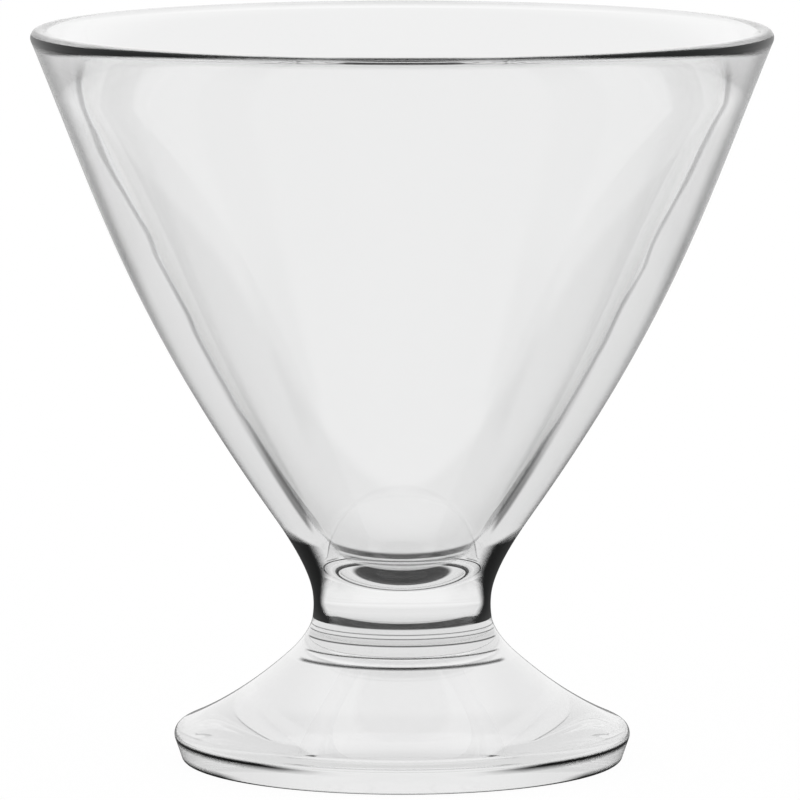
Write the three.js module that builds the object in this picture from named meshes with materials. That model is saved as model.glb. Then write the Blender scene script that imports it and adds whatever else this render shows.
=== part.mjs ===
import * as THREE from 'three';

// A clear glass dessert cup: bowl, stem, collar and foot, fused one on another.
// All sizes are in millimetres and degrees. The cup stands on z = 0 and its axis is +Z.

// Foot
const FOOT_DIAMETER = 65;
const FOOT_HEIGHT = 14.9;
const FOOT_EDGE_LEVEL = 3.6;
const FOOT_EDGE_ROUND = 1.5;
const FOOT_EDGE_DRAFT = 19;
const FOOT_TOE_ROUND = 0.5;
const FOOT_SAG = 0.57;

// Collar
const COLLAR_BASE_DIAMETER = 32.8;
const COLLAR_HEIGHT = 5.475;
const COLLAR_FULLNESS = 0.305;

// Stem
const STEM_HEIGHT = 3.5;
const STEM_END_DIAMETER = 25.5;
const STEM_WAIST_DIAMETER = 25.25;

// Bowl, outside
const RIM_DIAMETER = 105;
const BOWL_HEIGHT = 80.5;
const FLARE_HEIGHT = 11;
const FLARE_DIAMETER = 36.6;
const FLARE_START_LEAN = 7.5;
const WALL_LEAN_BOTTOM = 35;
const WALL_LEAN_TOP = 22;
const WALL_FULLNESS_BOTTOM = 0.468;
const WALL_FULLNESS_TOP = 0.329;

// Bowl, lip and inside
const LIP_THICKNESS = 2.4;
const LIP_INSIDE_LEAN = 32;
const LIP_BLEND_DEPTH = 8.4;
const WALL_BELOW_LIP = 3.5;
const INSIDE_LEAN_TOP = 23;
const INSIDE_FULLNESS_TOP = 0.42;
const INSIDE_FULLNESS_BOTTOM = 0.21;
const WELL_RADIUS = 12.5;
const WELL_LEAN = 35.5;
const WELL_FLOOR = 2.2;

// Fineness of the facets
const FACETS = 64;
const LONG_CURVE_STEPS = 14;
const SHORT_CURVE_STEPS = 8;
const ROUND_STEPS = 5;

// Levels of the fused joints, stacked up from the table
const COLLAR_LEVEL = FOOT_HEIGHT;
const STEM_LEVEL = COLLAR_LEVEL + COLLAR_HEIGHT;
const BOWL_LEVEL = STEM_LEVEL + STEM_HEIGHT;

const toRadians = THREE.MathUtils.degToRad;

const glass = new THREE.MeshStandardMaterial({
  color: 0xe9eeee,
  roughness: 0.04,
  metalness: 0,
  transparent: true,
  opacity: 0.35,
});

// A point of a profile: its distance from the axis and its height
function at(r, z) {
  return new THREE.Vector2(r, z);
}

// Unit step up a line that leans outward from the axis
function leaning(angle) {
  return at(Math.sin(toRadians(angle)), Math.cos(toRadians(angle)));
}

// Point where the line through p along u crosses the line through q along v
function crossing(p, u, q, v) {
  const apart = q.clone().sub(p);
  return p.clone().addScaledVector(u, apart.cross(v) / u.cross(v));
}

// Points of an arc round a centre, between two angles
function arc(centre, radius, from, to, steps) {
  const points = [];
  for (let i = 0; i <= steps; i += 1) {
    const angle = toRadians(THREE.MathUtils.lerp(from, to, i / steps));
    points.push(at(Math.cos(angle), Math.sin(angle)).multiplyScalar(radius).add(centre));
  }
  return points;
}

// Angle, as seen from the centre of a circle, where a tangent drawn from p touches it
function touchAngle(p, centre, radius) {
  const arm = p.clone().sub(centre);
  return THREE.MathUtils.radToDeg(arm.angle() - Math.acos(radius / arm.length()));
}

// Turns a profile, which runs from the axis up the outside and back to the axis, into a solid
function turned(name, level, profile) {
  const geometry = new THREE.LatheGeometry(profile, FACETS);
  geometry.rotateX(Math.PI / 2);
  const mesh = new THREE.Mesh(geometry, glass);
  mesh.name = name;
  mesh.position.z = level;
  return mesh;
}

// Point that the foot's cone is pulled towards, so that it sags between its edge and its top
function coneSag() {
  const top = at(COLLAR_BASE_DIAMETER / 2, FOOT_HEIGHT);
  const widest = at(FOOT_DIAMETER / 2, FOOT_EDGE_LEVEL);
  const inward = top.clone().sub(widest).rotateAround(at(0, 0), Math.PI / 2).normalize();
  return widest.lerp(top, 0.5).addScaledVector(inward, 2 * FOOT_SAG);
}

// Point that the stem's side is pulled towards, which gives it a slight waist
function stemPull() {
  return at(STEM_WAIST_DIAMETER - STEM_END_DIAMETER / 2, STEM_HEIGHT / 2);
}

// Foot: flat underside, drafted edge with a round shoulder, and a cone that sags up to the collar
function makeFoot() {
  const top = at(COLLAR_BASE_DIAMETER / 2, FOOT_HEIGHT);
  const sag = coneSag();
  const shoulder = at(FOOT_DIAMETER / 2 - FOOT_EDGE_ROUND, FOOT_EDGE_LEVEL);
  const end = touchAngle(sag, shoulder, FOOT_EDGE_ROUND);
  const edge = arc(shoulder, FOOT_EDGE_ROUND, -FOOT_EDGE_DRAFT, end, ROUND_STEPS);

  const toeTurn = leaning(FOOT_EDGE_DRAFT);
  const toeLine = edge[0].clone().addScaledVector(at(-toeTurn.y, toeTurn.x), FOOT_TOE_ROUND);
  const toeCentre = crossing(toeLine, toeTurn, at(0, FOOT_TOE_ROUND), at(1, 0));
  const toe = arc(toeCentre, FOOT_TOE_ROUND, -90, -FOOT_EDGE_DRAFT, ROUND_STEPS);

  const cone = new THREE.QuadraticBezierCurve(edge[ROUND_STEPS], sag, top);
  return turned('foot', 0, [
    at(0, 0),
    ...toe,
    ...edge,
    ...cone.getPoints(SHORT_CURVE_STEPS).slice(1),
    at(0, FOOT_HEIGHT),
  ]);
}

// Collar: hollow curve that carries on from the foot's cone and turns up into the stem
function makeCollar() {
  const bottom = at(COLLAR_BASE_DIAMETER / 2, 0);
  const top = at(STEM_END_DIAMETER / 2, COLLAR_HEIGHT);
  const coneUp = at(bottom.x, FOOT_HEIGHT).sub(coneSag()).normalize();
  const stemUp = stemPull().sub(at(top.x, 0)).normalize();
  const pull = COLLAR_FULLNESS * bottom.distanceTo(top);
  const side = new THREE.CubicBezierCurve(
    bottom,
    bottom.clone().addScaledVector(coneUp, pull),
    top.clone().addScaledVector(stemUp, -pull),
    top,
  );
  return turned('collar', COLLAR_LEVEL, [
    at(0, 0),
    ...side.getPoints(SHORT_CURVE_STEPS),
    at(0, COLLAR_HEIGHT),
  ]);
}

// Stem: short solid post with a slight waist
function makeStem() {
  const end = STEM_END_DIAMETER / 2;
  const side = new THREE.QuadraticBezierCurve(at(end, 0), stemPull(), at(end, STEM_HEIGHT));
  return turned('stem', STEM_LEVEL, [
    at(0, 0),
    ...side.getPoints(SHORT_CURVE_STEPS),
    at(0, STEM_HEIGHT),
  ]);
}

// Bowl: flare from the stem, long wall, full round lip, and an inside that ends in a round well
function makeBowl() {
  const base = at(STEM_END_DIAMETER / 2, 0);
  const flareTop = at(FLARE_DIAMETER / 2, FLARE_HEIGHT);
  const wallUp = leaning(WALL_LEAN_BOTTOM);
  const knee = crossing(base, leaning(FLARE_START_LEAN), flareTop, wallUp);
  const flare = new THREE.QuadraticBezierCurve(base, knee, flareTop);

  const lipRound = LIP_THICKNESS / 2;
  const lipCentre = at(RIM_DIAMETER / 2 - lipRound, BOWL_HEIGHT - lipRound);
  const lipOuter = arc(lipCentre, lipRound, -WALL_LEAN_TOP, 90, ROUND_STEPS);
  const lipInner = arc(lipCentre, lipRound, 90, 180 - LIP_INSIDE_LEAN, ROUND_STEPS);
  const lipStart = lipOuter[0];
  const lipEnd = lipInner[ROUND_STEPS];

  const outsideRun = lipStart.distanceTo(flareTop);
  const wall = new THREE.CubicBezierCurve(
    flareTop,
    flareTop.clone().addScaledVector(wallUp, WALL_FULLNESS_BOTTOM * outsideRun),
    lipStart.clone().addScaledVector(leaning(WALL_LEAN_TOP), -WALL_FULLNESS_TOP * outsideRun),
    lipStart,
  ).getPoints(LONG_CURVE_STEPS);

  // Full wall thickness, reached a little below the lip
  const blendHeight = BOWL_HEIGHT - LIP_BLEND_DEPTH;
  const above = wall.findIndex((p) => p.y > blendHeight);
  const step = wall[above].clone().sub(wall[above - 1]);
  const blend = crossing(wall[above], step, at(0, blendHeight), at(1, 0));
  blend.x -= WALL_BELOW_LIP;
  const insideUp = leaning(INSIDE_LEAN_TOP);
  const bend = crossing(lipEnd, leaning(LIP_INSIDE_LEAN), blend, insideUp);
  const belowLip = new THREE.QuadraticBezierCurve(lipEnd, bend, blend);

  const wellCentre = at(0, WELL_FLOOR + WELL_RADIUS);
  const well = arc(wellCentre, WELL_RADIUS, -WELL_LEAN, -90, SHORT_CURVE_STEPS);
  well[SHORT_CURVE_STEPS].x = 0;
  const insideRun = blend.distanceTo(well[0]);
  const inside = new THREE.CubicBezierCurve(
    blend,
    blend.clone().addScaledVector(insideUp, -INSIDE_FULLNESS_TOP * insideRun),
    well[0].clone().addScaledVector(leaning(WELL_LEAN), INSIDE_FULLNESS_BOTTOM * insideRun),
    well[0],
  );

  return turned('bowl', BOWL_LEVEL, [
    at(0, 0),
    ...flare.getPoints(SHORT_CURVE_STEPS),
    ...wall.slice(1),
    ...lipOuter.slice(1),
    ...lipInner.slice(1),
    ...belowLip.getPoints(ROUND_STEPS).slice(1),
    ...inside.getPoints(LONG_CURVE_STEPS).slice(1),
    ...well.slice(1),
  ]);
}

const group = new THREE.Group();
group.name = 'dessert_cup';
group.add(makeFoot(), makeCollar(), makeStem(), makeBowl());

export default group;
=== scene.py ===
import math

import bpy
import numpy as np
from bpy.props import FloatProperty, FloatVectorProperty, IntProperty, PointerProperty
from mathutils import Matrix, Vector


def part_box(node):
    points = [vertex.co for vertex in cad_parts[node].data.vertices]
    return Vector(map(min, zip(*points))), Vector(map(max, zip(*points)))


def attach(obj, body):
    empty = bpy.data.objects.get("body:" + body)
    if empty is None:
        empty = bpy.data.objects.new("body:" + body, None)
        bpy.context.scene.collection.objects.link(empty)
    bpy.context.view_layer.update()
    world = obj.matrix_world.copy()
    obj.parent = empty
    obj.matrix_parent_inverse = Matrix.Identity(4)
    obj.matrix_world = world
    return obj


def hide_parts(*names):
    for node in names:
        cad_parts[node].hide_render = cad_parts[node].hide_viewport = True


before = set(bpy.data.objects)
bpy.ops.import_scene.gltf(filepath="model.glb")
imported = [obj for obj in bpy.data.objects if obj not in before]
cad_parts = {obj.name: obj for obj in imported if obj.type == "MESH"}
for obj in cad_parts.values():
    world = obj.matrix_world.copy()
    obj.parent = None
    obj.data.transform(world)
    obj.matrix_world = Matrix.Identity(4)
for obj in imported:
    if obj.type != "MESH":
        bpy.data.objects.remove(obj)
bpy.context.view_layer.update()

bl_info = {
    "name": "Dessert Cup",
    "version": (1, 0, 0),
    "blender": (4, 5, 0),
    "location": "View3D > Sidebar > Dessert Cup",
    "description": "Footed dessert cup in clear pressed glass, turned from its profile",
    "category": "Add Mesh",
}

# Steps along the curves of a profile
ROUND_STEPS = 16
SMALL_ROUND_STEPS = 10
BAND_STEPS = 4
CONE_STEPS = 80
COLLAR_STEPS = 96
STEM_STEPS = 64
WALL_STEPS = 72
BLEND_STEPS = 24
WELL_STEPS = 32
SHARP_ANGLE = math.radians(40.0)

# Painted dark edges: near-black shade mixed into the glass where it is seen edge on. Facing runs
# from 0, seen square on, to 1, seen edge on. A list of stops holds pairs of a place and the value
# there: the place is a share of the piece's height, or degrees round the lip.
NEVER = 2.0
EDGE_ROUGHNESS = 0.3
EDGE_SPECULAR = 0.1
EDGE_SOFTNESS = 0.15
STOP_SOFTNESS = 0.12
STOP_LOSS = 0.7
FOOT_RIM = 0.9
FOOT_DARK = ((0.0, 1.0), (0.1, 1.0), (0.2, 0.0), (0.8, 0.0), (0.84, 1.0), (0.96, 1.0), (1.0, 0.0))
FOOT_MIDDLE = 0.5
TOE_START = 0.4
SHOULDER_START = 0.14
STEM_START = ((0.15, 0.3), (0.4, 0.42), (0.7, 0.5))
WALL_DARK = ((0.1, 1.0), (0.125, 0.35), (0.4, 0.35), (0.6, 0.55))
WALL_START = ((0.0, 0.5), (0.05, 0.42), (0.1, 0.46), (0.125, 0.74), (0.4, 0.74), (0.6, 0.7))
LIP_REACH = 1.4
LIP_DARK = ((40.0, 1.0), (55.0, 0.95), (64.0, 0.6), (75.0, 0.0))
LIP_START = ((-25.0, 0.5), (8.0, 0.2), (30.0, 0.1), (55.0, 0.25))
LIP_STOP = ((15.0, NEVER), (30.0, 0.48))

# Painted dark wavy line, standing in for the reflection where the bowl's inside starts to mirror the
# wall, by share of the bowl's height
MIRROR_DARK = (
    (0.14, 0.0), (0.16, 0.36), (0.28, 0.36), (0.4, 0.22), (0.6, 0.32), (0.94, 0.38), (0.98, 0.0))
MIRROR_START = ((0.18, 0.226), (0.36, 0.246))
MIRROR_SOFTNESS = 0.003
MIRROR_WAVE = 0.022
MIRROR_WAVE_SCALE = 110.0
MIRROR_STOP = (0.252, 0.257)
# Painted grey tone past the wavy line, standing in for the mirrored wall
MIRROR_TONE = 0.06
MIRROR_TONE_START = (0.25, 0.262)

# Painted dark lines on the collar, standing in for lines of the foot seen through it: level, half
# width and darkness of each
PAINTED_RINGS = (
    (0.069, 0.06, 0.9), (0.293, 0.03, 0.9), (0.58, 0.03, 0.9), (0.665, 0.13, 0.16),
    (0.75, 0.022, 0.75), (0.852, 0.022, 0.75))
# Facing at which these lines start to fade, by level
RING_FADE = ((0.0, 0.54), (0.3, 0.54), (0.58, 0.66), (0.85, 0.85))
RING_FADE_WIDTH = 0.1

# Faint handling marks
MARKS_SCALE = 38.0
MARKS_EDGE = (0.55, 0.8)

# Floor as rays that have come through glass find it, with painted shade: a dark oval under the foot,
# a dark slanting band, a dark ring behind two walls and a dark middle in mirrored rays. Pairs are the
# distances in metres, or the angles in degrees, between which a tone changes.
GLASS_DEPTH = 0.5
WALL_DEPTH = (2.5, 5.5)
CAMERA_WHITE = 1.02
SHADE_TONE = 0.03
SHADE_OVAL = (0.8, 1.0, 1.0)
SHADE_EDGE = (0.0155, 0.0186)
SHADE_GAIN = 0.79
NEAR_GAIN = 0.06
NEAR_EDGE = (0.03, 0.1)
MIDDLE_GAIN = 0.12
MIDDLE_EDGE = (0.1, 0.4)
FAR_LOSS = 0.08
FAR_EDGE = (0.45, 0.65)
BAND_LOSS = 0.75
BAND_TURN_START = (50.0, 56.0)
BAND_TURN_END = (72.0, 78.0)
BAND_START = (0.05, 0.06)
BAND_MIDDLE = (0.07, 0.1)
BAND_MIDDLE_LOSS = 0.6
BAND_END = (0.12, 0.22)
MIRRORED_TONE = 0.15
MIRRORED_EDGE = (0.15, 0.5)
HOLLOW_TONE = 0.8
HOLLOW_GAIN = 0.13
HOLLOW_EDGE = (0.085, 0.25)
HOLLOW_FAR_GAIN = 0.07
HOLLOW_FAR_EDGE = (0.315, 0.34)
HOLLOW_RING = 0.76
HOLLOW_RING_START = (0.03, 0.036)
HOLLOW_RING_END = (0.05, 0.062)

# Room: degrees above level between which it dims, and shares by which it does
ROOM_HIGH = (15.0, 45.0)
ROOM_HIGH_LOSS = 0.2
ROOM_OVERHEAD = (64.0, 70.0)
ROOM_WALL_LOSS = 0.65
# Sideways part of a ray's direction between which the room dims to the sides
ROOM_SIDE = (0.25, 0.5)
ROOM_SIDE_LOSS = 0.06

CAMERA_PLACE = (-0.0003, -1.12335, 0.19316)
CAMERA_DOWN = math.radians(7.1928)
CAMERA_SENSOR = 36.0
CAMERA_REACH = 100.0
BOUNCES = 64

# Levels and diameters that the solid model fixes
BOWL_BOX = np.array(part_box("bowl"))
STEM_BOX = np.array(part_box("stem"))
COLLAR_BOX = np.array(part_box("collar"))
FOOT_BOX = np.array(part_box("foot"))


def across(box):
    """Width of a box along X."""
    return float(box[1, 0] - box[0, 0])


def tall(box):
    """Height of a box along Z."""
    return float(box[1, 2] - box[0, 2])


# Property makers

def length(name, default, description):
    """A size in metres."""
    return FloatProperty(
        name=name, description=description, default=default, min=0.0,
        precision=5, subtype="DISTANCE", unit="LENGTH")


def angle(name, degrees, description):
    """An angle, given in degrees."""
    return FloatProperty(
        name=name, description=description, default=math.radians(degrees),
        subtype="ANGLE", unit="ROTATION")


def share(name, default, description):
    """A plain share from 0 to 1."""
    return FloatProperty(
        name=name, description=description, default=default, min=0.0, max=1.0, subtype="FACTOR")


def colour(name, default, description):
    """A linear colour."""
    return FloatVectorProperty(
        name=name, description=description, default=default, size=3, min=0.0, max=1.0,
        subtype="COLOR")


class CupSizes(bpy.types.PropertyGroup):
    """Sizes of the cup's profile."""

    foot_diameter: length("Foot diameter", across(FOOT_BOX), "Widest part of the foot")
    foot_height: length("Foot height", tall(FOOT_BOX), "Table to the collar")
    foot_edge_level: length("Foot edge level", 0.0036, "Height of the foot's widest part")
    foot_edge_round: length("Foot edge round", 0.0015, "Radius of the shoulder above the edge")
    foot_edge_draft: angle("Foot edge draft", 19.0, "Lean of the foot's edge band")
    foot_toe_round: length("Foot toe round", 0.0005, "Radius where the edge meets the underside")
    foot_sag: length("Foot sag", 0.00057, "How far the cone hangs below a straight line")
    collar_diameter: length("Collar diameter", across(COLLAR_BOX), "Collar where it meets the foot")
    collar_height: length("Collar height", tall(COLLAR_BOX), "Foot to the stem")
    collar_fullness: share("Collar fullness", 0.305, "How long the collar keeps its end slopes")
    stem_height: length("Stem height", tall(STEM_BOX), "Collar to the bowl")
    stem_diameter: length("Stem diameter", across(STEM_BOX), "Stem at both of its ends")
    stem_waist: length("Stem waist", 0.02525, "Stem at its middle")
    rim_diameter: length("Rim diameter", across(BOWL_BOX), "Outside of the lip")
    bowl_height: length("Bowl height", tall(BOWL_BOX), "Stem to the top of the lip")
    flare_height: length("Flare height", 0.011, "Stem to the start of the long wall")
    flare_diameter: length("Flare diameter", 0.0366, "Outside at the start of the long wall")
    flare_lean: angle("Flare lean", 8.13, "Lean of the flare where it leaves the stem")
    wall_lean_bottom: angle("Wall lean, bottom", 35.0, "Lean of the outside above the flare")
    wall_lean_top: angle("Wall lean, top", 22.0, "Lean of the outside under the lip")
    wall_fullness_bottom: share("Wall fullness, bottom", 0.468, "How long the low lean is kept")
    wall_fullness_top: share("Wall fullness, top", 0.329, "How long the high lean is kept")
    lip_thickness: length("Lip thickness", 0.0024, "Diameter of the full round lip")
    lip_lean: angle("Lip lean", 32.0, "Lean of the inside just under the lip")
    lip_blend: length("Lip blend", 0.0084, "Depth at which the wall has its full thickness")
    wall_thickness: length("Wall thickness", 0.0035, "Wall at that depth, measured level")
    inside_lean: angle("Inside lean", 23.0, "Lean of the inside at that depth")
    inside_fullness_top: share("Inside fullness, top", 0.42, "How long that lean is kept")
    inside_fullness_bottom: share("Inside fullness, bottom", 0.21, "How long the well's is kept")
    well_radius: length("Well radius", 0.0125, "Radius of the round well at the bottom")
    well_lean: angle("Well lean", 35.5, "Lean of the inside where the well starts")
    well_floor: length("Well floor", 0.0022, "Glass under the well, down to the stem")
    facets: IntProperty(
        name="Facets", description="Faces round the axis", default=256, min=24, max=512)


class GlassLook(bpy.types.PropertyGroup):
    """Finish of the glass."""

    wall_tone: colour("Wall tone", (0.955, 0.956, 0.956), "Light that the bowl's wall lets through")
    stem_tone: colour("Stem tone", (0.93, 0.931, 0.931), "Light that the stem lets through")
    foot_tone: colour("Foot tone", (0.865, 0.866, 0.866), "Light that the thick foot lets through")
    # Painted shade: near-black tone mixed into the glass where it is seen edge on
    edge_tone: colour("Edge tone", (0.012, 0.013, 0.013), "Glass seen edge on, at the thick parts")
    bending: FloatProperty(
        name="Refraction", description="Refractive index of soda-lime glass", default=1.52,
        min=1.0, max=2.0)
    polish: share("Polish", 0.004, "Roughness of the clean fire polish")
    smudge: share("Smudge", 0.012, "Roughness added by faint handling marks")


class StageLook(bpy.types.PropertyGroup):
    """Floor, light and camera."""

    floor_size: length("Floor size", 40.0, "Side of the floor")
    floor_gap: length("Floor gap", 0.0002, "Clearance under the foot, so that the faces stay apart")
    floor_tone: colour("Floor tone", (1.0, 1.0, 1.0), "Plain pale floor")
    shadow: share("Shadow", 0.06, "Share of the floor's tone that takes the cup's shadow")
    room_dark: share("Room tone", 0.03, "Tone of the unlit room overhead")
    lens: FloatProperty(
        name="Lens", description="Focal length of the camera", default=358.63, unit="CAMERA")


# Plane geometry of a profile, where a point is its distance from the axis and its height

def point(r, z):
    """A profile point."""
    return np.array([r, z], dtype=float)


def leaning(lean):
    """Unit step up a line that leans outward from the axis by an angle."""
    return point(math.sin(lean), math.cos(lean))


def turn_left(step):
    """A step turned a quarter left."""
    return point(-step[1], step[0])


def spread(a, b):
    """Cross product of two steps: the area that they span."""
    return a[0] * b[1] - a[1] * b[0]


def crossing(p, u, q, v):
    """Point where the line through p along u meets the line through q along v."""
    return p + u * (spread(q - p, v) / spread(u, v))


def bezier(points, steps):
    """Bezier curve: each point weighted by its Bernstein polynomial at even parameters."""
    t = np.linspace(0.0, 1.0, steps + 1)[:, None]
    order = len(points) - 1
    parts = [
        math.comb(order, k) * (1.0 - t) ** (order - k) * t ** k * p for k, p in enumerate(points)]
    return np.sum(parts, axis=0)


def arc(centre, radius, start, stop, steps):
    """Circle arc: centre plus radius times (cosine, sine) at even angles."""
    turn = np.linspace(start, stop, steps + 1)
    return centre + radius * np.stack([np.cos(turn), np.sin(turn)], axis=1)


def cone_sag(s):
    """Point that pulls the foot's cone below the straight line from its edge to its top."""
    top = point(s.collar_diameter / 2, s.foot_height)
    widest = point(s.foot_diameter / 2, s.foot_edge_level)
    inward = turn_left(top - widest)
    return (widest + top) / 2 + inward * (2 * s.foot_sag / np.linalg.norm(inward))


def stem_pull(s):
    """Point that pulls the stem's side in to its waist."""
    return point(s.stem_waist - s.stem_diameter / 2, s.stem_height / 2)


# Profiles of the pieces, each from the axis up the outside and back to the axis

def foot_profile(s):
    """Flat underside, toe arc, drafted band with a shoulder arc, and the sagging cone."""
    sag = cone_sag(s)
    shoulder = point(s.foot_diameter / 2 - s.foot_edge_round, s.foot_edge_level)
    arm = sag - shoulder
    touch = math.atan2(arm[1], arm[0]) - math.acos(s.foot_edge_round / np.linalg.norm(arm))
    edge = arc(shoulder, s.foot_edge_round, -s.foot_edge_draft, touch, ROUND_STEPS)
    up = leaning(s.foot_edge_draft)
    toe_line = edge[0] + turn_left(up) * s.foot_toe_round
    toe_centre = crossing(toe_line, up, point(0.0, s.foot_toe_round), point(1.0, 0.0))
    toe = arc(toe_centre, s.foot_toe_round, -math.pi / 2, -s.foot_edge_draft, SMALL_ROUND_STEPS)
    band = bezier([toe[-1], edge[0]], BAND_STEPS)[1:-1]
    top = point(s.collar_diameter / 2, s.foot_height)
    cone = bezier([edge[-1], sag, top], CONE_STEPS)[1:]
    return np.concatenate([[point(0.0, 0.0)], toe, band, edge, cone, [point(0.0, top[1])]])


def collar_profile(s):
    """Hollow cubic that leaves the cone along its slope and meets the stem along its side."""
    bottom = point(s.collar_diameter / 2, s.foot_height)
    top = point(s.stem_diameter / 2, s.foot_height + s.collar_height)
    cone_up = bottom - cone_sag(s)
    stem_up = stem_pull(s) - point(s.stem_diameter / 2, 0.0)
    pull = s.collar_fullness * np.linalg.norm(top - bottom)
    low = bottom + cone_up * (pull / np.linalg.norm(cone_up))
    high = top - stem_up * (pull / np.linalg.norm(stem_up))
    side = bezier([bottom, low, high, top], COLLAR_STEPS)
    return np.concatenate([[point(0.0, bottom[1])], side, [point(0.0, top[1])]])


def stem_profile(s):
    """Quadratic side that is pulled in to a slight waist."""
    level = point(0.0, s.foot_height + s.collar_height)
    half = s.stem_diameter / 2
    ends = [point(half, 0.0), stem_pull(s), point(half, s.stem_height)]
    side = bezier(ends, STEM_STEPS) + level
    return np.concatenate([[level], side, [level + point(0.0, s.stem_height)]])


def bowl_profile(s):
    """Flare, long wall, round lip, inside and round well; also the row where the inside starts."""
    level = point(0.0, s.foot_height + s.collar_height + s.stem_height)
    base = point(s.stem_diameter / 2, 0.0)
    flare_top = point(s.flare_diameter / 2, s.flare_height)
    wall_up = leaning(s.wall_lean_bottom)
    knee = crossing(base, leaning(s.flare_lean), flare_top, wall_up)
    flare = bezier([base, knee, flare_top], WALL_STEPS)

    lip_round = s.lip_thickness / 2
    lip_centre = point(s.rim_diameter / 2 - lip_round, s.bowl_height - lip_round)
    outer_lip = arc(lip_centre, lip_round, -s.wall_lean_top, math.pi / 2, ROUND_STEPS)
    inner_lip = arc(lip_centre, lip_round, math.pi / 2, math.pi - s.lip_lean, SMALL_ROUND_STEPS)
    run = np.linalg.norm(outer_lip[0] - flare_top)
    wall = bezier([
        flare_top,
        flare_top + wall_up * (s.wall_fullness_bottom * run),
        outer_lip[0] - leaning(s.wall_lean_top) * (s.wall_fullness_top * run),
        outer_lip[0]], WALL_STEPS)

    depth = s.bowl_height - s.lip_blend
    blend = point(np.interp(depth, wall[:, 1], wall[:, 0]) - s.wall_thickness, depth)
    inside_up = leaning(s.inside_lean)
    bend = crossing(inner_lip[-1], leaning(s.lip_lean), blend, inside_up)
    below_lip = bezier([inner_lip[-1], bend, blend], BLEND_STEPS)

    well_centre = point(0.0, s.well_floor + s.well_radius)
    well = arc(well_centre, s.well_radius, -s.well_lean, -math.pi / 2, WELL_STEPS)
    well[-1, 0] = 0.0
    drop = np.linalg.norm(blend - well[0])
    inside = bezier([
        blend,
        blend - inside_up * (s.inside_fullness_top * drop),
        well[0] + leaning(s.well_lean) * (s.inside_fullness_bottom * drop),
        well[0]], WALL_STEPS)

    outside = np.concatenate([[point(0.0, 0.0)], flare, wall[1:], outer_lip[1:]])
    hollow = np.concatenate([inner_lip[1:], below_lip[1:], inside[1:], well[1:]])
    return np.concatenate([outside, hollow]) + level, len(outside)


def graded(places, stops):
    """Values at places, on straight lines from stop to stop."""
    at, values = zip(*stops)
    return np.interp(places, at, values)


# Meshes

def turned_arrays(profile, facets):
    """Surface of revolution: ring k, place j is (r cos a, r sin a, z) with r and z of profile
    point k and a = j turns / facets. The two ends lie on the axis and close as fans."""
    rings = profile[1:-1]
    turn = np.arange(facets) * (2 * math.pi / facets)
    grid = np.stack([
        rings[:, :1] * np.cos(turn),
        rings[:, :1] * np.sin(turn),
        np.repeat(rings[:, 1:], facets, axis=1)], axis=-1)
    poles = np.array([[0.0, 0.0, profile[0, 1]], [0.0, 0.0, profile[-1, 1]]])
    points = np.concatenate([grid.reshape(-1, 3), poles])

    here = np.arange(facets)
    after = (here + 1) % facets
    row = np.arange(len(rings) - 1)[:, None] * facets
    quads = np.stack([row + here, row + after, row + facets + after, row + facets + here], axis=-1)
    low = len(points) - 2
    last = (len(rings) - 1) * facets
    bottom = np.stack([np.full(facets, low), after, here], axis=-1)
    top = np.stack([np.full(facets, low + 1), last + here, last + after], axis=-1)
    return points, quads.reshape(-1, 4), bottom, top


def turned_piece(name, profile, facets, flat_ends, edge):
    """A closed turned piece with smooth sides. flat_ends says which end fans are flat faces. edge
    holds three values for each profile point, which the glass's rule for painted dark lines of shade
    and reflection reads: a share, and the facing at which the rule starts and stops."""
    points, quads, bottom, top = turned_arrays(profile, facets)
    mesh = bpy.data.meshes.new(name)
    mesh.from_pydata(points, [], quads.tolist() + bottom.tolist() + top.tolist())
    smooth = np.ones(len(mesh.polygons), dtype=bool)
    first = len(quads)
    smooth[first:first + facets] = not flat_ends[0]
    smooth[first + facets:] = not flat_ends[1]
    mesh.polygons.foreach_set("use_smooth", smooth)
    mesh.set_sharp_from_angle(angle=SHARP_ANGLE)
    for key, values in zip(("painted_shade_share", "painted_shade_start", "painted_shade_stop"), edge):
        spread_out = np.concatenate([np.repeat(values[1:-1], facets), values[[0, -1]]])
        layer = mesh.attributes.new(key, "FLOAT", "POINT")
        layer.data.foreach_set("value", spread_out.astype(np.float32))
    mesh.validate()
    piece = bpy.data.objects.new(name, mesh)
    bpy.context.scene.collection.objects.link(piece)
    return piece


def mark_joints(piece, facets, joints):
    """Gives the end faces that are fused to the next piece the second material."""
    mesh = piece.data
    slots = np.zeros(len(mesh.polygons), dtype=np.int32)
    first = len(mesh.polygons) - 2 * facets
    slots[first:first + facets] = int(joints[0])
    slots[first + facets:] = int(joints[1])
    mesh.polygons.foreach_set("material_index", slots)
    mesh.update()


# Shader maths

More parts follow.
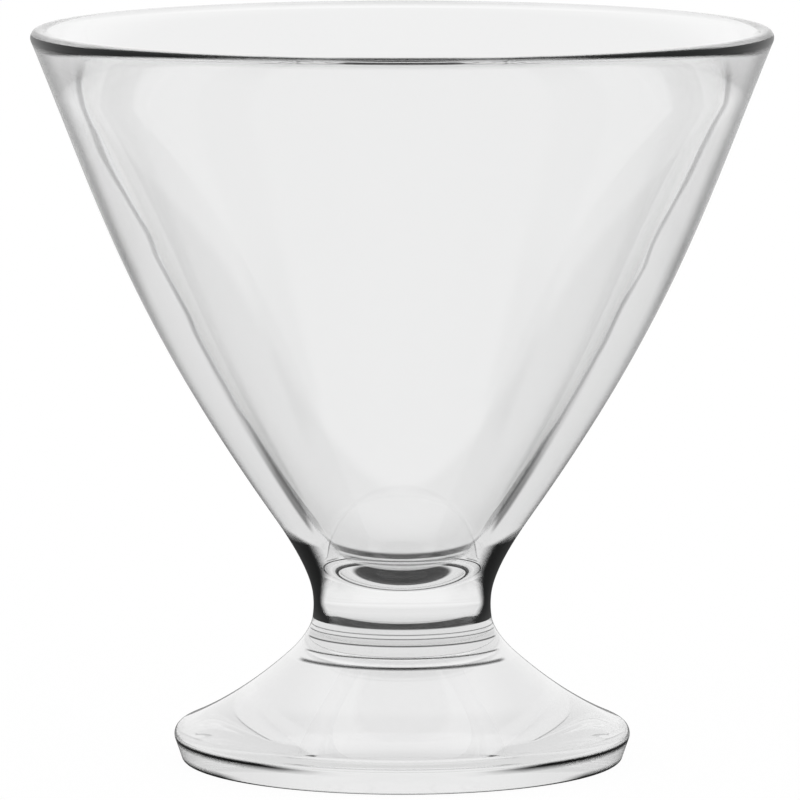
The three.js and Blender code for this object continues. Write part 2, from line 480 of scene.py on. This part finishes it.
class Wire:
    """Wraps a socket, so that an expression on values adds its Math nodes."""

    def __init__(self, tree, socket=None):
        self.tree = tree
        self.socket = socket

    def node(self, kind, settings=None, sockets=None, output=0):
        """Adds a node: its settings first, then the values or links of its sockets."""
        made = self.tree.nodes.new(kind)
        for key, value in (settings or {}).items():
            setattr(made, key, value)
        for key, value in (sockets or {}).items():
            if isinstance(value, Wire):
                self.tree.links.new(value.socket, made.inputs[key])
            else:
                made.inputs[key].default_value = value
        return Wire(self.tree, made.outputs[output]) if made.outputs else made

    def maths(self, operation, *terms):
        """One Math node on the terms."""
        return self.node("ShaderNodeMath", {"operation": operation}, dict(enumerate(terms)))

    def __add__(self, other):
        return self.maths("ADD", self, other)

    def __radd__(self, other):
        return self.maths("ADD", other, self)

    def __sub__(self, other):
        return self.maths("SUBTRACT", self, other)

    def __rsub__(self, other):
        return self.maths("SUBTRACT", other, self)

    def __mul__(self, other):
        return self.maths("MULTIPLY", self, other)

    def __rmul__(self, other):
        return self.maths("MULTIPLY", other, self)

    def __gt__(self, other):
        return self.maths("GREATER_THAN", self, other)

    def __lt__(self, other):
        return self.maths("LESS_THAN", self, other)

    def rise(self, low, high):
        """Smooth step from 0 at low to 1 at high."""
        sockets = {"Value": self, "From Min": low, "From Max": high}
        settings = {"interpolation_type": "SMOOTHSTEP"}
        return self.node("ShaderNodeMapRange", settings, sockets, "Result")


def fresh_material(name):
    """An empty node material."""
    material = bpy.data.materials.new(name)
    material.use_nodes = True
    material.node_tree.nodes.clear()
    return material


# Rules for painted dark lines of shade and reflection in the glass

def edge_on(board, facing, inside, painted_share_here, start, stop):
    """Painted shade share of a row where the outside turns away from the eye by more than its start. It
    weakens past its stop."""
    dark = facing.rise(start, start + EDGE_SOFTNESS)
    dark = dark * (1.0 - STOP_LOSS * facing.rise(stop, stop + STOP_SOFTNESS))
    return dark * board.maths("MAXIMUM", painted_share_here, 0.0) * (1.0 - inside)


def painted_ring_lines(board, facing, inside, level, start, stop):
    """Painted dark bells round the levels of the collar's lines, standing in for lines of the foot seen
    through the glass. They fade where the glass turns away.
    """
    dark = 0.0
    for at, wide, depth in PAINTED_RINGS:
        off = board.maths("ABSOLUTE", level - at)
        dark = dark + depth * (1.0 - off.rise(0.0, wide))
    return dark * (1.0 - facing.rise(start, stop)) * (1.0 - inside)


def painted_wall_lines(board, facing, inside, painted_share_here, start, stop):
    """The outside's painted dark edge, and a painted dark wavy line standing in for the reflection where
    the inside starts to mirror the wall. The share is below 0 on the inside."""
    place = board.node("ShaderNodeTexCoord", output="Object")
    wave = board.node("ShaderNodeTexNoise", sockets={
        "Vector": place, "Scale": MIRROR_WAVE_SCALE, "Detail": 1.0})
    near = facing + MIRROR_WAVE * (wave - 0.5)
    line = near.rise(start, start + MIRROR_SOFTNESS) * (1.0 - near.rise(*MIRROR_STOP))
    mirror = line + MIRROR_TONE * near.rise(*MIRROR_TONE_START)
    hidden = mirror * board.maths("MAXIMUM", -1.0 * painted_share_here, 0.0) * inside
    return edge_on(board, facing, inside, painted_share_here, start, stop) + hidden


def clear_glass(name, look, tint, rule):
    """Pressed glass with faint handling marks, and painted dark lines of shade and reflection that
    follow the piece's own rule.
    """
    material = fresh_material(name)
    board = Wire(material.node_tree)
    place = board.node("ShaderNodeTexCoord", output="Object")
    facing = board.node("ShaderNodeLayerWeight", sockets={"Blend": 0.5}, output="Facing")
    painted_share_here = board.node("ShaderNodeAttribute", {"attribute_name": "painted_shade_share"}, output="Fac")
    start = board.node("ShaderNodeAttribute", {"attribute_name": "painted_shade_start"}, output="Fac")
    stop = board.node("ShaderNodeAttribute", {"attribute_name": "painted_shade_stop"}, output="Fac")
    inside = board.node("ShaderNodeNewGeometry", output="Backfacing")
    edge = rule(board, facing, inside, painted_share_here, start, stop)
    marks = board.node("ShaderNodeTexNoise", sockets={
        "Vector": place, "Scale": MARKS_SCALE, "Detail": 1.0})
    rough = look.polish + marks.rise(*MARKS_EDGE) * look.smudge

    clear = board.node("ShaderNodeBsdfPrincipled", sockets={
        "Base Color": (*tint, 1.0), "Roughness": rough, "IOR": look.bending,
        "Transmission Weight": 1.0})
    # Painted shade: near-black closure that the dark-line rules mix in where the glass is seen edge on
    thick = board.node("ShaderNodeBsdfPrincipled", sockets={
        "Base Color": (*look.edge_tone, 1.0), "Roughness": EDGE_ROUGHNESS,
        "Specular IOR Level": EDGE_SPECULAR})
    shader = board.node("ShaderNodeMixShader", sockets={0: edge, 1: clear, 2: thick})
    board.node("ShaderNodeOutputMaterial", sockets={"Surface": shader})
    return material


def fused_joint(name, look, tint):
    """Inner face where two pieces are one glass: light goes straight on."""
    material = fresh_material(name)
    board = Wire(material.node_tree)
    shader = board.node("ShaderNodeBsdfPrincipled", sockets={
        "Base Color": (*tint, 1.0), "Roughness": 0.0, "IOR": look.bending,
        "Transmission Weight": 1.0, "Alpha": 0.0})
    board.node("ShaderNodeOutputMaterial", sockets={"Surface": shader})
    return material


def dress(piece, node, slot, facets, joints, tint, rule):
    """Gives a piece its glass and joint faces, hangs it under the root body and hides the solid that it
    stands for.
    """
    look = bpy.context.scene.cup_glass
    piece.data.materials.append(clear_glass(slot, look, tint, rule))
    piece.data.materials.append(fused_joint(slot + "_joint", look, tint))
    mark_joints(piece, facets, joints)
    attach(piece, "root")
    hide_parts(node)


# Operators

class CUP_OT_foot(bpy.types.Operator):
    """Turns the foot"""

    bl_idname = "cup.foot"
    bl_label = "Foot"

    def execute(self, context):
        s = context.scene.cup_sizes
        profile = foot_profile(s)
        up = profile[:, 1] / s.foot_edge_level
        on_rim = profile[:, 0] > FOOT_RIM * s.foot_diameter / 2
        start = np.where(up < FOOT_MIDDLE, TOE_START, SHOULDER_START)
        edge = graded(up, FOOT_DARK) * on_rim, start, np.full(len(up), NEVER)
        piece = turned_piece("foot_turned", profile, s.facets, (True, True), edge)
        tint = context.scene.cup_glass.foot_tone
        dress(piece, "foot", "foot_glass", s.facets, (False, True), tint, edge_on)
        return {"FINISHED"}


class CUP_OT_collar(bpy.types.Operator):
    """Turns the collar"""

    bl_idname = "cup.collar"
    bl_label = "Collar"

    def execute(self, context):
        s = context.scene.cup_sizes
        profile = collar_profile(s)
        up = (profile[:, 1] - s.foot_height) / s.collar_height
        start = graded(up, RING_FADE)
        edge = up, start, start + RING_FADE_WIDTH
        piece = turned_piece("collar_turned", profile, s.facets, (True, True), edge)
        tint = context.scene.cup_glass.stem_tone
        dress(piece, "collar", "collar_glass", s.facets, (True, True), tint, painted_ring_lines)
        return {"FINISHED"}


class CUP_OT_stem(bpy.types.Operator):
    """Turns the stem"""

    bl_idname = "cup.stem"
    bl_label = "Stem"

    def execute(self, context):
        s = context.scene.cup_sizes
        profile = stem_profile(s)
        up = (profile[:, 1] - profile[0, 1]) / s.stem_height
        edge = np.ones(len(up)), graded(up, STEM_START), np.full(len(up), NEVER)
        piece = turned_piece("stem_turned", profile, s.facets, (True, True), edge)
        tint = context.scene.cup_glass.stem_tone
        dress(piece, "stem", "stem_glass", s.facets, (True, True), tint, edge_on)
        return {"FINISHED"}


class CUP_OT_bowl(bpy.types.Operator):
    """Turns the bowl"""

    bl_idname = "cup.bowl"
    bl_label = "Bowl"

    def execute(self, context):
        s = context.scene.cup_sizes
        profile, inside = bowl_profile(s)
        level = profile[0, 1]
        up = (profile[:, 1] - level) / s.bowl_height
        lip = s.lip_thickness / 2
        rise = (profile[:, 1] - level - s.bowl_height + lip) / lip
        tilt = np.degrees(np.arcsin(np.clip(rise, -1.0, 1.0)))
        on_lip = up > 1.0 - LIP_REACH * lip / s.bowl_height
        outside = np.arange(len(profile)) < inside
        dark = np.where(on_lip, graded(tilt, LIP_DARK), graded(up, WALL_DARK))
        start = np.where(on_lip, graded(tilt, LIP_START), graded(up, WALL_START))
        edge = (
            np.where(outside, dark, -graded(up, MIRROR_DARK)),
            np.where(outside, start, graded(up, MIRROR_START)),
            np.where(on_lip, graded(tilt, LIP_STOP), NEVER))
        piece = turned_piece("bowl_turned", profile, s.facets, (True, False), edge)
        tint = context.scene.cup_glass.wall_tone
        dress(piece, "bowl", "bowl_glass", s.facets, (True, False), tint, painted_wall_lines)
        return {"FINISHED"}


def pale_floor(look):
    """White floor with a faint shadow for the camera. Rays that come through glass find a painted shade
    under the foot and a painted dark slanting band, rays behind two walls a painted dark ring, and
    mirrored rays a painted dark middle."""
    material = fresh_material("pale_floor")
    board = Wire(material.node_tree)
    place = board.node("ShaderNodeTexCoord", output="Object")
    r = board.node("ShaderNodeVectorMath", {"operation": "LENGTH"}, {0: place}, "Value")
    camera = board.node("ShaderNodeLightPath", output="Is Camera Ray")
    depth = board.node("ShaderNodeLightPath", output="Transmission Depth")

    x = board.node("ShaderNodeSeparateXYZ", sockets={0: place}, output="X")
    y = board.node("ShaderNodeSeparateXYZ", sockets={0: place}, output="Y")
    turn = board.maths("ARCTAN2", x, y) * math.degrees(1.0)
    fold = board.maths("PINGPONG", turn, 90.0)
    # Painted dark slanting band on the floor, seen only through the glass
    slant = fold.rise(*BAND_TURN_START) * (1.0 - fold.rise(*BAND_TURN_END))
    band = slant * r.rise(*BAND_START) * (1.0 - BAND_MIDDLE_LOSS * r.rise(*BAND_MIDDLE))
    band = band * (1.0 - r.rise(*BAND_END))

    # Painted shade: dark oval under the foot, seen only through the glass
    oval = board.node(
        "ShaderNodeVectorMath", {"operation": "MULTIPLY"}, {0: place, 1: SHADE_OVAL}, "Vector")
    reach = board.node("ShaderNodeVectorMath", {"operation": "LENGTH"}, {0: oval}, "Value")
    solid = SHADE_TONE + SHADE_GAIN * reach.rise(*SHADE_EDGE)
    solid = solid + NEAR_GAIN * r.rise(*NEAR_EDGE) + MIDDLE_GAIN * r.rise(*MIDDLE_EDGE)
    solid = (solid - FAR_LOSS * r.rise(*FAR_EDGE)) * (1.0 - BAND_LOSS * band)

    # Painted dark ring on the floor, seen only behind two walls of glass
    ring = r.rise(*HOLLOW_RING_START) * (1.0 - r.rise(*HOLLOW_RING_END))
    hollow = HOLLOW_TONE + HOLLOW_GAIN * r.rise(*HOLLOW_EDGE)
    hollow = hollow + HOLLOW_FAR_GAIN * r.rise(*HOLLOW_FAR_EDGE) - HOLLOW_RING * ring
    # Painted dark middle of the floor for mirrored rays
    mirrored = MIRRORED_TONE + (1.0 - MIRRORED_TONE) * r.rise(*MIRRORED_EDGE)

    through_wall = (depth > WALL_DEPTH[0]) * (depth < WALL_DEPTH[1])
    through_glass = depth > GLASS_DEPTH
    inner = solid + (hollow - solid) * through_wall
    shade = mirrored + (inner - mirrored) * through_glass
    grey = shade + (CAMERA_WHITE - shade) * camera

    tone = board.node(
        "ShaderNodeVectorMath", {"operation": "SCALE"},
        {0: tuple(look.floor_tone), "Scale": grey}, "Vector")
    glow = board.node("ShaderNodeEmission", sockets={"Color": tone, "Strength": 1.0})
    chalk = board.node("ShaderNodeBsdfDiffuse", sockets={"Color": (*look.floor_tone, 1.0)})
    mixed = board.node("ShaderNodeMixShader", sockets={0: camera * look.shadow, 1: glow, 2: chalk})
    board.node("ShaderNodeOutputMaterial", sockets={"Surface": mixed})
    return material


def white_room(look):
    """World: white all round for the camera. Other rays find the room unlit high overhead, a little
    darker at the sides, and dim behind two walls of glass."""
    world = bpy.data.worlds.new("white_room")
    world.use_nodes = True
    world.node_tree.nodes.clear()
    board = Wire(world.node_tree)
    way = board.node("ShaderNodeTexCoord", output="Generated")
    x = board.node("ShaderNodeSeparateXYZ", sockets={0: way}, output="X")
    up = board.node("ShaderNodeSeparateXYZ", sockets={0: way}, output="Z")
    camera = board.node("ShaderNodeLightPath", output="Is Camera Ray")
    depth = board.node("ShaderNodeLightPath", output="Transmission Depth")
    high = up.rise(*np.sin(np.radians(ROOM_HIGH)).tolist())
    overhead = up.rise(*np.sin(np.radians(ROOM_OVERHEAD)).tolist())
    aside = board.maths("ABSOLUTE", x).rise(*ROOM_SIDE)
    room = (1.0 - ROOM_HIGH_LOSS * high) * (1.0 - overhead * (1.0 - look.room_dark))
    room = room * (1.0 - ROOM_WALL_LOSS * (depth > WALL_DEPTH[0])) * (1.0 - ROOM_SIDE_LOSS * aside)
    grey = room + (1.0 - room) * camera
    back = board.node("ShaderNodeBackground", sockets={"Color": grey, "Strength": 1.0})
    board.node("ShaderNodeOutputWorld", sockets={"Surface": back})
    return world


class CUP_OT_stage(bpy.types.Operator):
    """Sets the floor, the light and the camera"""

    bl_idname = "cup.stage"
    bl_label = "Stage"

    def execute(self, context):
        scene = context.scene
        look = scene.cup_stage
        half = look.floor_size / 2
        corners = np.array([[-1, -1], [1, -1], [1, 1], [-1, 1]], dtype=float) * half
        points = np.column_stack([corners, np.full(4, -look.floor_gap)])
        mesh = bpy.data.meshes.new("floor")
        mesh.from_pydata(points, [], [(0, 1, 2, 3)])
        mesh.materials.append(pale_floor(look))
        floor = bpy.data.objects.new("floor", mesh)
        scene.collection.objects.link(floor)

        scene.world = white_room(look)

        eye = bpy.data.cameras.new("camera")
        eye.sensor_width = CAMERA_SENSOR
        eye.lens = look.lens
        eye.clip_end = CAMERA_REACH
        camera = bpy.data.objects.new("camera", eye)
        camera.location = CAMERA_PLACE
        camera.rotation_euler = (math.pi / 2 - CAMERA_DOWN, 0.0, 0.0)
        scene.collection.objects.link(camera)
        scene.camera = camera

        scene.view_settings.view_transform = "Standard"
        scene.cycles.max_bounces = BOUNCES
        scene.cycles.transmission_bounces = BOUNCES
        scene.cycles.glossy_bounces = BOUNCES
        scene.cycles.transparent_max_bounces = BOUNCES
        return {"FINISHED"}


class CUP_PT_panel(bpy.types.Panel):
    """Lists the cup's makers and their values"""

    bl_label = "Dessert Cup"
    bl_idname = "CUP_PT_panel"
    bl_space_type = "VIEW_3D"
    bl_region_type = "UI"
    bl_category = "Dessert Cup"

    def draw(self, context):
        for maker in MAKERS:
            self.layout.operator(maker.bl_idname)
        for group in (context.scene.cup_sizes, context.scene.cup_glass, context.scene.cup_stage):
            box = self.layout.box()
            for key in group.__annotations__:
                box.prop(group, key)


MAKERS = (CUP_OT_foot, CUP_OT_collar, CUP_OT_stem, CUP_OT_bowl, CUP_OT_stage)
CLASSES = (CupSizes, GlassLook, StageLook, *MAKERS, CUP_PT_panel)


def register():
    for cls in CLASSES:
        bpy.utils.register_class(cls)
    bpy.types.Scene.cup_sizes = PointerProperty(type=CupSizes)
    bpy.types.Scene.cup_glass = PointerProperty(type=GlassLook)
    bpy.types.Scene.cup_stage = PointerProperty(type=StageLook)


def unregister():
    del bpy.types.Scene.cup_stage
    del bpy.types.Scene.cup_glass
    del bpy.types.Scene.cup_sizes
    for cls in reversed(CLASSES):
        bpy.utils.unregister_class(cls)


def main():
    register()
    bpy.ops.cup.foot()
    bpy.ops.cup.collar()
    bpy.ops.cup.stem()
    bpy.ops.cup.bowl()
    bpy.ops.cup.stage()


if __name__ == "__main__":
    main()
